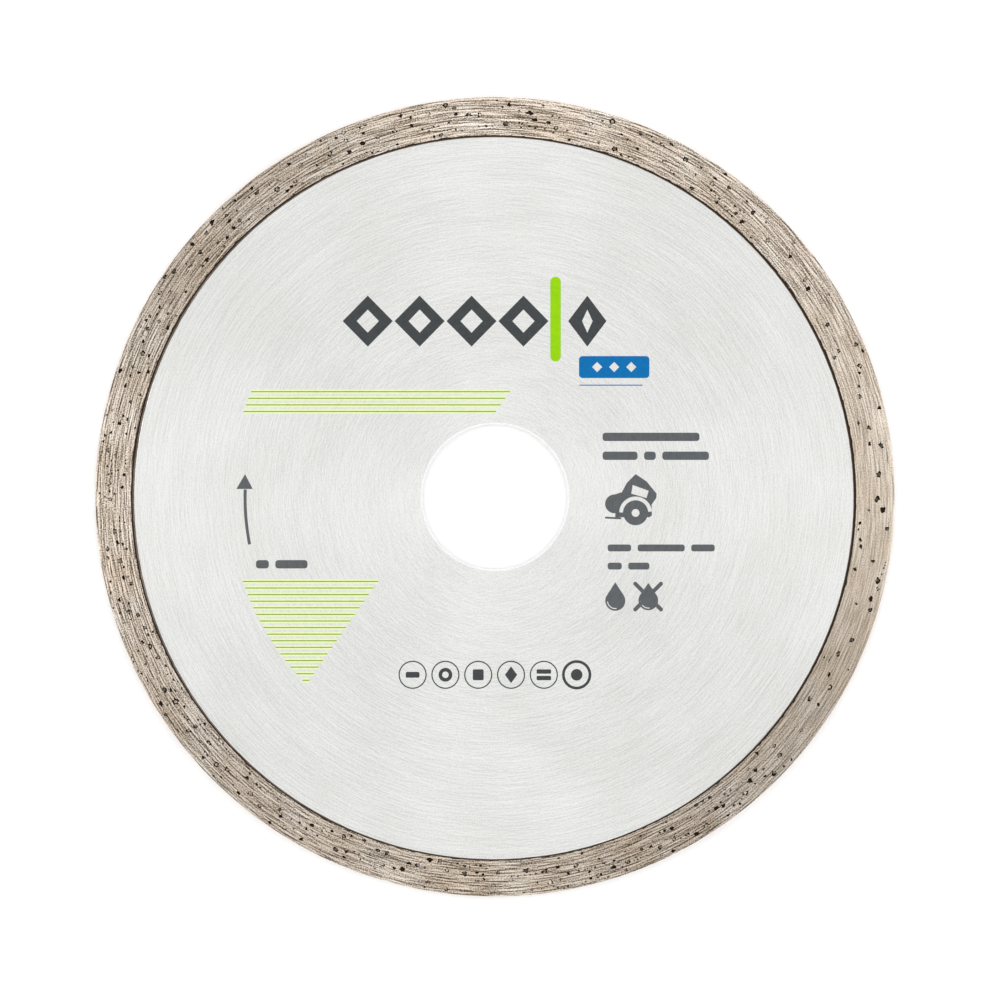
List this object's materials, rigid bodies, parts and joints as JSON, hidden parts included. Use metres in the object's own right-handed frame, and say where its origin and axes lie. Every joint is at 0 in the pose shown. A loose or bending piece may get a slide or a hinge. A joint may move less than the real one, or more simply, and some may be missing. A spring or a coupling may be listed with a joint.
{
  "type": "diamond blade",
  "caption": "Thin round diamond saw blade for wet tile cutting: spin-ground steel disc with a plain arbor bore and a continuous sintered diamond rim.",
  "frame": {"origin": "centre of the arbor bore, half way through the steel core's thickness", "axes": "+Z is the spindle axis and leaves the printed side; +Y is the top of the print; the blade lies flat in the XY plane"},
  "size_m": [0.1102, 0.1102, 0.0024],
  "materials": {
    "core_steel": "spin-ground and polished",
    "sintered_bond": "ground sintered bronze bond",
    "diamond_grit": "rough crystal",
    "dark_ink": "satin screen print",
    "green_ink": "satin screen print",
    "blue_ink": "satin screen print"
  },
  "bodies": {
    "root": {"core_disc": "core_steel", "cutting_rim": "sintered_bond", "diamond_grit_front": "diamond_grit", "diamond_grit_back": "diamond_grit", "diamond_grit_edge": "diamond_grit"}
  },
  "joints": []
}
